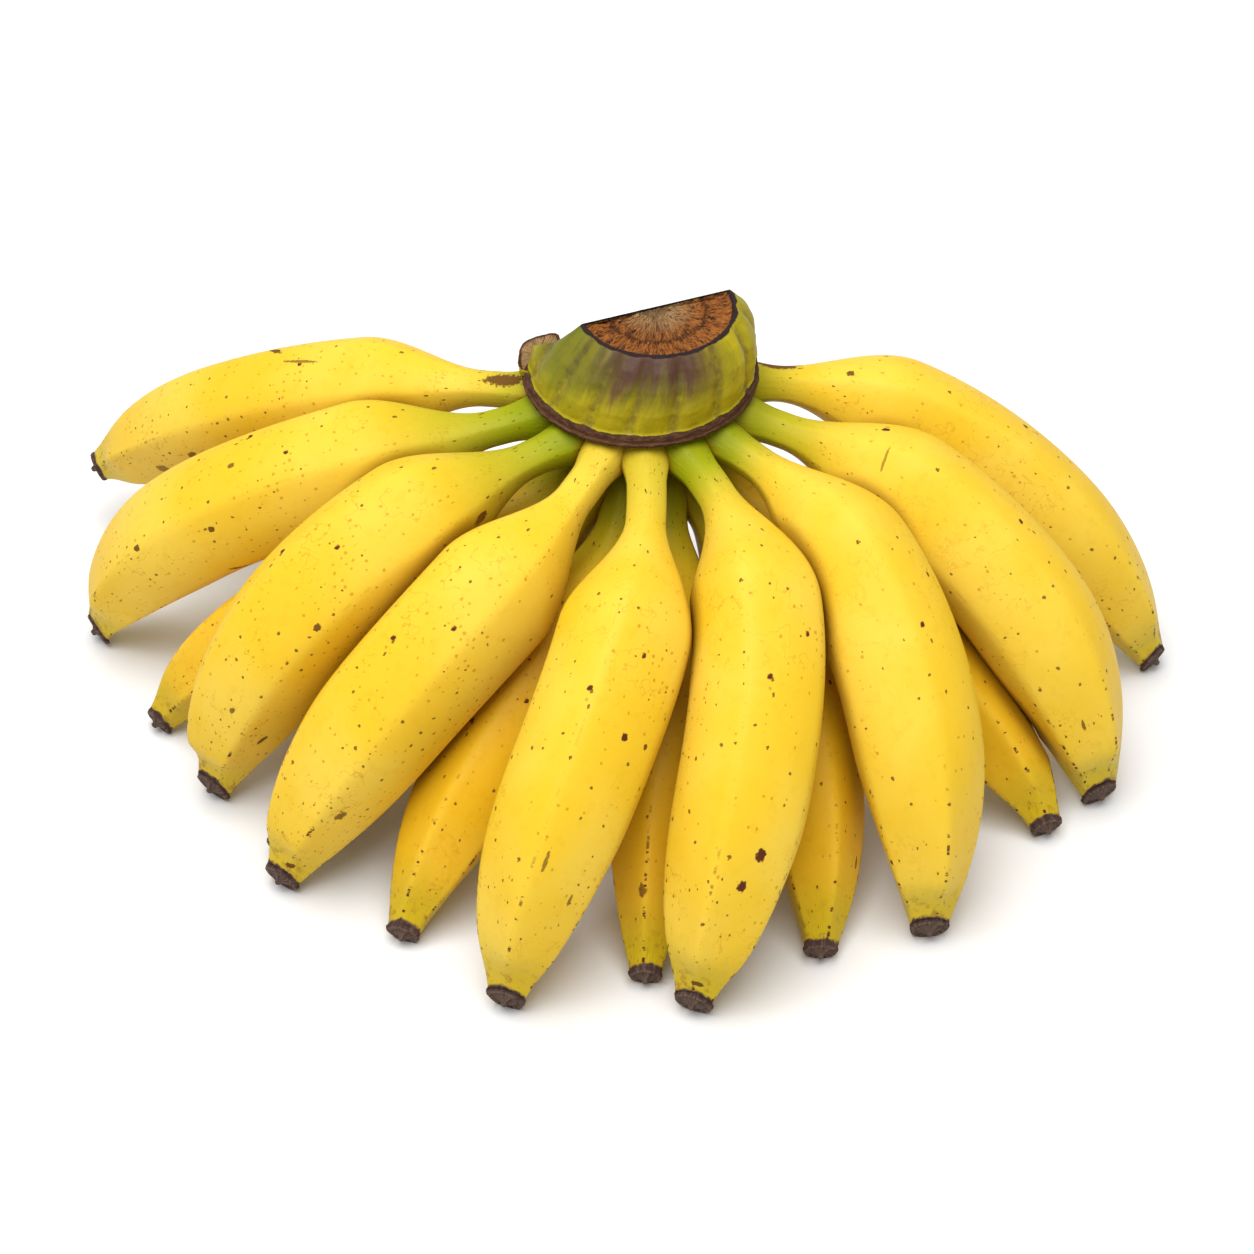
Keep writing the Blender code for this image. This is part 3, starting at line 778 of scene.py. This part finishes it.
def peel_material(finger, marks):
    """Ripe peel: green stem, yellow fruit with specks and marks, and the dark blossom end."""
    peel = Peel(finger)
    colour = faint_wear(peel, green_ends(peel, yellow_with_painted_light(peel)))
    stained = dark_spots(peel, marks)
    colour = peel.mix(stained, colour, SPECK_BROWN)
    # painted shade: the peel turns brown where it lies within a few mm of another finger
    contact_shade = peel.maths("POWER", peel.step(peel.stored("gap"), 4.0, -0.5), 2.0)
    colour = peel.mix(peel.times(contact_shade, 0.75), colour, CONTACT_SHADE_BROWN)
    border = peel.strayed(peel.to_tip, peel.fine, 3.0)
    cap = peel.step(border, CAP_LENGTH + 0.9, CAP_LENGTH + 0.2)
    colour = peel.mix(cap, colour, cap_colour(peel))
    peel.set(peel.shader, "Base Color", colour)

    rough = peel.plus(PEEL_ROUGHNESS, peel.times(peel.fine, 0.14))
    dull = peel.times(peel.maths("MAXIMUM", cap, stained), 0.35)
    peel.set(peel.shader, "Roughness", peel.plus(rough, dull))
    peel.set(peel.shader, "Specular IOR Level", PEEL_GLOSS)
    peel.set(peel.shader, "Subsurface Weight", PEEL_GLOW)
    peel.set(peel.shader, "Subsurface Radius", PEEL_GLOW_COLOUR)
    peel.set(peel.shader, "Subsurface Scale", PEEL_GLOW_DEPTH)
    peel.set(peel.shader, "Normal", peel_relief(peel, stained))
    return peel.material


def seen_at(points):
    """Where points of the final frame, in millimetres, show in the photograph, in pixels."""
    towards = np.array([0.0, math.cos(VIEW_ELEVATION), -math.sin(VIEW_ELEVATION)])
    upwards = np.array([0.0, math.sin(VIEW_ELEVATION), math.cos(VIEW_ELEVATION)])
    offset = points * METRES - VIEW_TARGET
    depth = VIEW_DISTANCE + offset @ towards
    scale = PHOTO_SIZE * VIEW_DISTANCE / VIEW_WIDTH / depth
    right = 0.5 * PHOTO_SIZE + offset[:, 0] * scale
    down = 0.5 * PHOTO_SIZE - offset @ upwards * scale
    return np.stack([right, down], axis=1)


def mark_centres(finger, loops, centres, straight):
    """Each of a finger's marks with its centre on the straightened fruit, on the side that is seen."""
    points = loops.reshape(-1, 3)
    outward = points - np.repeat(centres, FINGER_SIDES, axis=0)
    outward /= np.linalg.norm(outward, axis=1)[:, None] + 1e-9
    to_camera = np.array([0.0, -math.cos(VIEW_ELEVATION), math.sin(VIEW_ELEVATION)])
    pixels = seen_at(points - ORIGIN)
    hidden = 1e6 * (outward @ to_camera < 0.1)
    found = []
    for mark in MARKS:
        if mark.finger == finger.name:
            nearest = np.argmin(np.linalg.norm(pixels - np.array(mark.at), axis=1) + hidden)
            found.append((mark, straight.reshape(-1, 3)[nearest]))
    return found


def fruit_values(finger, straight, gaps, length):
    """What a fruit's material needs to know at each point, with the peel also laid flat as wrapped."""
    around = np.linspace(0.0, 2.0 * math.pi, FINGER_SIDES, endpoint=False)
    half_side = math.pi / RIDGE_COUNT
    to_ridge = np.abs(np.mod(around + half_side, 2.0 * half_side) - half_side)
    reach = np.linalg.norm(straight[:, :, :2], axis=2)
    from_top = np.mod(around + math.radians(finger.roll) + math.pi, 2.0 * math.pi) - math.pi
    wrapped = np.zeros_like(straight)
    wrapped[:, :, 0] = 0.5 * finger.girth * from_top
    wrapped[:, :, 1] = straight[:, :, 2]
    along = with_ends(straight[:, :, 2:])[:, 0]
    return {
        "straight": with_ends(straight),
        "wrapped": with_ends(wrapped),
        "gap": with_ends(gaps[:, :, None])[:, 0],
        "along": along,
        "to_tip": length - along,
        "off_ridge": with_ends((reach * to_ridge)[:, :, None])[:, 0],
    }


def build_fingers():
    """Every banana as a fine closed skin over the same curve as its CAD solid."""
    outlines = []
    for finger in FINGERS:
        even, points, _, _ = axis_curve(finger)
        outlines.append((points, finger_radius(finger, even, even[-1])))
    for index, finger in enumerate(FINGERS):
        loops, centres, straight, length = finger_surface(finger)
        loops, gaps = press_together(index, loops, centres, outlines)
        loops[:, :, 2] = np.maximum(loops[:, :, 2], 0.0)
        values = fruit_values(finger, straight, gaps, length)
        faces = closed_faces(len(loops), FINGER_SIDES)
        fruit = add_object(finger.name + "_fruit", with_ends(loops), faces, values)
        marks = mark_centres(finger, loops, centres, straight)
        fruit.data.materials.append(peel_material(finger, marks))
        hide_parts(finger.name)
        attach(fruit, "root")


def crown_loop(height, radius, groove):
    """One level of the crown as points, each with its bearing and how deep in a groove it lies."""
    rise = smooth(height, RIM_HEIGHT, CUT_HEIGHT)
    axis = CROWN_AXIS + (CUT_AXIS - CROWN_AXIS) * rise
    first, last = np.array(RIM_ARC) * (1.0 - rise) + np.array(CUT_ARC) * rise
    bearings = np.radians(np.linspace(first, last, CROWN_ARC_POINTS))
    uneven = bearings + PANEL_DRIFT * np.sin(3.0 * bearings + 1.0)
    depths = np.abs(np.cos(0.5 * GROOVE_COUNT * uneven)) ** GROOVE_SHARPNESS
    reach = radius - groove * depths
    arc = axis + reach[:, None] * np.stack([np.cos(bearings), -np.sin(bearings)], axis=1)
    share = np.linspace(0.0, 1.0, CROWN_BACK_POINTS + 2)[1:-1]
    back = arc[-1] + (arc[0] - arc[-1]) * share[:, None]
    outline = np.concatenate([arc, back])
    behind = bearings[-1] + share * (bearings[0] - bearings[-1])
    all_bearings = np.concatenate([bearings, behind])
    all_depths = np.concatenate([depths, np.zeros(CROWN_BACK_POINTS)])
    return np.column_stack([outline, np.full(len(outline), height), all_bearings, all_depths])


def crown_profile():
    """Height, radius, groove depth, share of cork and share of cut face, level by level."""
    rim_top = RIM_HEIGHT + RIM_THICKNESS
    corners = np.array([
        (RIM_HEIGHT - HUB_DEPTH, 6.0, 0.0, 0.0, 0.0),
        (RIM_HEIGHT - HUB_DEPTH, HUB_FOOT_RADIUS - 2.0, 0.0, 0.0, 0.0),
        (RIM_HEIGHT - HUB_DEPTH + 2.0, HUB_FOOT_RADIUS, 0.3, 0.0, 0.0),
        (RIM_HEIGHT - 0.5 * HUB_DEPTH, HUB_RADIUS - 1.6, 0.5, 0.0, 0.0),
        (RIM_HEIGHT - 0.6, HUB_RADIUS, 0.3, 0.6, 0.0),
        (RIM_HEIGHT, RIM_RADIUS - 1.7, 0.0, 1.0, 0.0),
        (RIM_HEIGHT + 0.4, RIM_RADIUS - 0.7, 0.0, 1.0, 0.0),
        (RIM_HEIGHT + 0.9, RIM_RADIUS - 0.5, 0.0, 1.0, 0.0),
        (RIM_HEIGHT + 1.5, RIM_RADIUS - 1.1, 0.0, 1.0, 0.0),
        (RIM_HEIGHT + 2.1, RIM_RADIUS - 0.8, 0.0, 1.0, 0.0),
        (RIM_HEIGHT + 2.6, RIM_RADIUS - 1.3, 0.1, 0.9, 0.0),
        (rim_top, RIM_RADIUS - 2.0, 0.5, 0.1, 0.0),
        (rim_top + 4.0, RIM_RADIUS - 2.2, GROOVE_DEPTH, 0.0, 0.0),
        (rim_top + 9.0, RIM_RADIUS - 4.0, GROOVE_DEPTH, 0.0, 0.0),
        (rim_top + 12.5, RIM_RADIUS - 6.4, GROOVE_DEPTH, 0.0, 0.0),
        (CUT_HEIGHT - 0.8, CUT_RADIUS + 0.9, 0.5 * GROOVE_DEPTH, 0.1, 0.0),
        (CUT_HEIGHT, CUT_RADIUS - 0.3, 0.2, 1.0, 0.0),
        (CUT_HEIGHT - 0.3, CUT_RADIUS - 0.7, 0.0, 1.0, 0.3),
        (CUT_HEIGHT - 1.1, CUT_RADIUS - 1.5, 0.0, 0.0, 1.0),
        (CUT_HEIGHT - 1.6, CUT_RADIUS - 7.0, 0.0, 0.0, 1.0),
        (CUT_HEIGHT - 1.2, 2.5, 0.0, 0.0, 1.0),
    ])
    travelled = np.append(0.0, np.cumsum(np.hypot(*np.diff(corners[:, :2], axis=0).T)))
    steps = np.arange(0.0, travelled[-1], CROWN_SPACING)
    return np.stack([np.interp(steps, travelled, corners[:, i]) for i in range(5)], axis=1)


def roughened(points, outward, amount):
    """Points pushed in and out by fractal noise, by one amount or each by its own."""
    pushes = [noise.fractal(Vector(p) * 0.45, 0.9, 2.1, 4) for p in points]
    return points + outward * (np.array(pushes) * amount)[:, None]


def crown_values(levels, loops, middle):
    """What the crown's material needs to know at each point. A level ends with its cork and cut shares."""
    points = with_ends(loops[:, :, :3])
    bearing, groove = with_ends(loops[:, :, 3:]).T
    cork, cut = with_ends(np.repeat(levels[:, None, -2:], loops.shape[1], axis=1)).T
    radius = np.linalg.norm(points[:, :2] - middle, axis=1)
    rim_top = RIM_HEIGHT + RIM_THICKNESS
    return {
        "cork": cork,
        "cut": cut,
        "groove": groove,
        "bearing": np.degrees(bearing),
        "rise": (points[:, 2] - rim_top) / (CUT_HEIGHT - rim_top),
        "radius": radius,
        "place": points,
        "unrolled": np.column_stack([RIM_RADIUS * bearing, points[:, 2], radius]),
    }


def add_crown_piece(name, points, faces, values):
    """A piece of the crown with the crown's material."""
    piece = add_object(name, points, faces, values)
    piece.data.materials.append(crown_material(name + "_looks"))
    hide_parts("crown")
    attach(piece, "root")


def build_crown():
    """The crown with its panels, corky double rim, hub and rough cut face."""
    levels = crown_profile()
    loops = np.array([crown_loop(height, radius, groove) for height, radius, groove, _, _ in levels])
    values = crown_values(levels, loops, CUT_AXIS)
    points = values["place"]
    outward = (points - np.append(CROWN_AXIS, 0.0)) * np.array([1.0, 1.0, 0.0])
    outward /= np.linalg.norm(outward, axis=1)[:, None] + 1e-9
    outward[values["cut"] > 0.5] = (0.0, 0.0, 1.0)
    amount = SKIN_ROUGHNESS + CORK_ROUGHNESS * values["cork"] + CUT_ROUGHNESS * values["cut"]
    points = roughened(points, outward, amount)

    # bundles of fibres stand out on the cut face
    bundles = [
        noise.fractal(Vector((1.1 * around, 0.25 * radius, 0.0)), 0.8, 2.1, 4)
        for around, _, radius in values["unrolled"]
    ]
    points[:, 2] += FIBRE_HEIGHT * values["cut"] * np.array(bundles)
    add_crown_piece("crown_cushion", points, closed_faces(len(loops), loops.shape[1]), values)


def build_stub():
    """The short cut stalk on the left end of the rim, cut at a slant that faces the fingers."""
    levels = np.array([
        (RIM_HEIGHT + 1.2, 0.85, 0.0, 0.0),
        (RIM_HEIGHT + 2.6, 1.10, 0.0, 0.0),
        (STUB_TOP - 4.4, 1.08, 0.3, 0.0),
        (STUB_TOP - 3.8, 1.05, 1.0, 0.0),
        (STUB_TOP - 3.6, 0.97, 1.0, 0.3),
        (STUB_TOP - 3.9, 0.86, 0.0, 1.0),
        (STUB_TOP - 4.0, 0.10, 0.0, 1.0),
    ])
    steps = np.linspace(0.0, len(levels) - 1.0, STUB_LEVELS)
    levels = np.stack([np.interp(steps, np.arange(len(levels)), levels[:, i]) for i in range(4)], axis=1)
    turn = np.linspace(0.0, 2.0 * math.pi, STUB_SIDES, endpoint=False)
    squarish = 1.0 / (np.abs(np.cos(turn)) ** 4 + np.abs(np.sin(turn)) ** 4) ** 0.25
    outline = squarish[:, None] * np.stack([np.cos(turn), np.sin(turn)], axis=1) * STUB_RADII
    loops = []
    for height, size, _, _ in levels:
        slant = STUB_SLANT * smooth(height, RIM_HEIGHT + RIM_THICKNESS, STUB_TOP - 4.0)
        heights = height + slant * size * (outline @ STUB_UPHILL)
        around = np.column_stack([-turn, np.zeros(STUB_SIDES)])
        loops.append(np.column_stack([STUB_CENTRE + size * outline, heights, around]))
    loops = np.array(loops)
    values = crown_values(levels, loops, STUB_CENTRE)
    outward = (values["place"] - np.append(STUB_CENTRE, 0.0)) * np.array([1.0, 1.0, 0.0])
    outward /= np.linalg.norm(outward, axis=1)[:, None] + 1e-9
    points = roughened(values["place"], outward, STUB_ROUGHNESS)
    add_crown_piece("crown_stub", points, closed_faces(len(loops), STUB_SIDES), values)


def skin_colour(looks, streaks, mottle):
    """Green panels, yellow along the rim and on the right, stained brown below the cut and in grooves."""
    bearing = looks.stored("bearing")
    drift = looks.times(looks.minus(streaks, 0.5), 1.3)
    rise = looks.plus(looks.stored("rise"), drift)
    to_left = looks.step(bearing, 105.0, 145.0)
    to_right = looks.step(bearing, 72.0, 35.0)

    colour = looks.mix(looks.step(streaks, 0.45, 0.62), CROWN_OLIVE, CROWN_YELLOW)
    colour = looks.mix(looks.times(to_left, 0.75), colour, CROWN_GREEN)
    low = looks.times(looks.step(rise, 0.60, 0.1), 0.8)
    colour = looks.mix(low, colour, CROWN_YELLOW)
    colour = looks.mix(looks.times(to_right, 0.65), colour, CROWN_YELLOW)

    clean = looks.maths("MAXIMUM", to_right, looks.times(to_left, 0.8))
    stain = looks.times(looks.step(rise, 0.30, 0.85), looks.minus(1.0, clean))
    colour = looks.mix(stain, colour, STAIN_PURPLE)
    lines = looks.step(looks.stored("groove"), 0.45, 1.0)
    lines = looks.times(lines, looks.step(mottle, 0.3, 0.6))
    colour = looks.mix(looks.times(lines, 0.5), colour, STAIN_PURPLE)
    blotches = looks.times(looks.step(mottle, 0.60, 0.70), 0.35)
    return looks.mix(blotches, colour, STAIN_PURPLE)


def cut_colour(looks, fibres, mottle):
    """Orange fibres that run outwards, pale in the middle, with dark gaps and one dark line round."""
    colour = looks.mix(looks.step(fibres, 0.38, 0.56), FIBRE_DARK, FIBRE_ORANGE)
    radius = looks.plus(looks.stored("radius"), looks.times(mottle, 5.0))
    pale = looks.times(looks.step(radius, 13.0, 5.0), looks.step(fibres, 0.36, 0.55))
    bright = looks.times(looks.step(fibres, 0.58, 0.72), 0.6)
    colour = looks.mix(looks.maths("MAXIMUM", pale, bright), colour, FIBRE_BEIGE)
    line = looks.step(looks.maths("ABSOLUTE", looks.minus(radius, 13.5)), 0.9, 0.3)
    return looks.mix(looks.times(line, 0.7), colour, FIBRE_DARK)


def crown_material(name):
    """Green ribbed skin, stained towards the cut, with a corky brown rim and a fibrous cut face."""
    looks = Looks(name)
    place = looks.stored("place", "Vector")
    unrolled = looks.stored("unrolled", "Vector")
    cork = looks.stored("cork")
    cut = looks.stored("cut")
    streaks = looks.noise(looks.vector("MULTIPLY", unrolled, (1.0, 0.22, 0.0)), 0.22, 4.0, 0.6)
    mottle = looks.noise(place, 0.5, 5.0, 0.65)
    bent = looks.vector("ADD", unrolled, looks.times(mottle, 3.0))
    fibres = looks.noise(looks.vector("MULTIPLY", bent, (1.0, 0.0, 0.3)), 1.1, 5.0, 0.7)
    bark = looks.noise(looks.vector("MULTIPLY", unrolled, (0.35, 1.6, 0.0)), 1.3, 4.0, 0.6)
    colour = skin_colour(looks, streaks, mottle)

    loose = looks.minus(mottle, 0.5)
    ragged_cork = looks.plus(cork, looks.times(loose, 0.6))
    cork_share = looks.step(ragged_cork, 0.40, 0.60)
    off_line = looks.maths("ABSOLUTE", looks.minus(looks.stored("rise"), RIM_LINE))
    pale_line = looks.step(off_line, 0.045, 0.015)
    pale = looks.times(looks.plus(looks.step(bark, 0.40, 0.66), pale_line), 0.6)
    cork_colour = looks.mix(pale, RIM_BROWN, RIM_PALE)
    cork_colour = looks.mix(looks.step(looks.stored("rise"), 0.6, 0.9), cork_colour, RING_BLACK)
    colour = looks.mix(cork_share, colour, cork_colour)

    loose = looks.minus(fibres, 0.5)
    ragged_cut = looks.plus(cut, looks.times(loose, 0.8))
    cut_share = looks.step(ragged_cut, 0.45, 0.65)
    colour = looks.mix(cut_share, colour, cut_colour(looks, fibres, mottle))
    looks.set(looks.shader, "Base Color", colour)

    bare = looks.maths("MAXIMUM", cork_share, cut_share)
    rough = looks.plus(CROWN_ROUGHNESS, looks.times(bare, 0.45))
    looks.set(looks.shader, "Roughness", rough)
    looks.set(looks.shader, "Specular IOR Level", CROWN_GLOSS)
    relief = looks.bump(mottle, 0.0003, 0.5)
    relief = looks.bump(looks.times(fibres, cut_share), 0.0016, 0.9, relief)
    relief = looks.bump(looks.times(bark, cork_share), 0.0012, 0.8, relief)
    looks.set(looks.shader, "Normal", relief)
    return looks.material


def build_floor():
    """A plain pale floor, far wider than the hand."""
    mesh = bpy.data.meshes.new("floor")
    corners = [(x * FLOOR_REACH, y * FLOOR_REACH, 0.0) for x, y in ((-1, -1), (1, -1), (1, 1), (-1, 1))]
    mesh.from_pydata(corners, [], [(0, 1, 2, 3)])
    floor = bpy.data.objects.new("floor", mesh)
    bpy.context.scene.collection.objects.link(floor)
    looks = Looks("pale_floor")
    looks.set(looks.shader, "Base Color", FLOOR_WHITE)
    looks.set(looks.shader, "Roughness", FLOOR_ROUGHNESS)
    looks.set(looks.shader, "Specular IOR Level", FLOOR_GLOSS)
    mesh.materials.append(looks.material)


def add_area_light(name, place, size, power):
    """A square soft light that shines at the hand."""
    light = bpy.data.lights.new(name, "AREA")
    light.size = size
    light.energy = power
    lamp = bpy.data.objects.new(name, light)
    lamp.location = place
    aim = Vector(LIGHT_TARGET) - Vector(place)
    lamp.rotation_euler = aim.to_track_quat("-Z", "Y").to_euler()
    bpy.context.scene.collection.objects.link(lamp)


def build_lights():
    """A broad light above the front of the hand, a little to the left, and a bright even room."""
    add_area_light("overhead_light", LIGHT_PLACE, LIGHT_SIZE, LIGHT_POWER)
    world = bpy.data.worlds.new("pale_room")
    world.use_nodes = True
    background = world.node_tree.nodes["Background"]
    background.inputs["Color"].default_value = ROOM_WHITE
    background.inputs["Strength"].default_value = ROOM_BRIGHTNESS
    bpy.context.scene.world = world


def build_camera():
    """The camera at the photograph's place and angle of view."""
    camera = bpy.data.cameras.new("camera")
    camera.sensor_width = SENSOR_WIDTH
    camera.lens = SENSOR_WIDTH * VIEW_DISTANCE / VIEW_WIDTH
    viewer = bpy.data.objects.new("camera", camera)
    back = VIEW_DISTANCE * math.cos(VIEW_ELEVATION)
    viewer.location = (VIEW_TARGET[0], VIEW_TARGET[1] - back, VIEW_DISTANCE * math.sin(VIEW_ELEVATION))
    viewer.rotation_euler = (0.5 * math.pi - VIEW_ELEVATION, 0.0, 0.0)
    bpy.context.scene.collection.objects.link(viewer)
    bpy.context.scene.camera = viewer
    bpy.context.scene.view_settings.view_transform = "Standard"


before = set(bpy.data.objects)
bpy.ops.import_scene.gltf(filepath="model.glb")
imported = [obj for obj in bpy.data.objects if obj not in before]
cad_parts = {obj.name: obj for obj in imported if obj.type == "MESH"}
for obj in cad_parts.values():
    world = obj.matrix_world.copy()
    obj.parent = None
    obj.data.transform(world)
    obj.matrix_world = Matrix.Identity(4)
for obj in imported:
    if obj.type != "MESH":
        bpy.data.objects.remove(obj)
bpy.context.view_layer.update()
build_fingers()
build_crown()
build_stub()
build_floor()
build_lights()
build_camera()
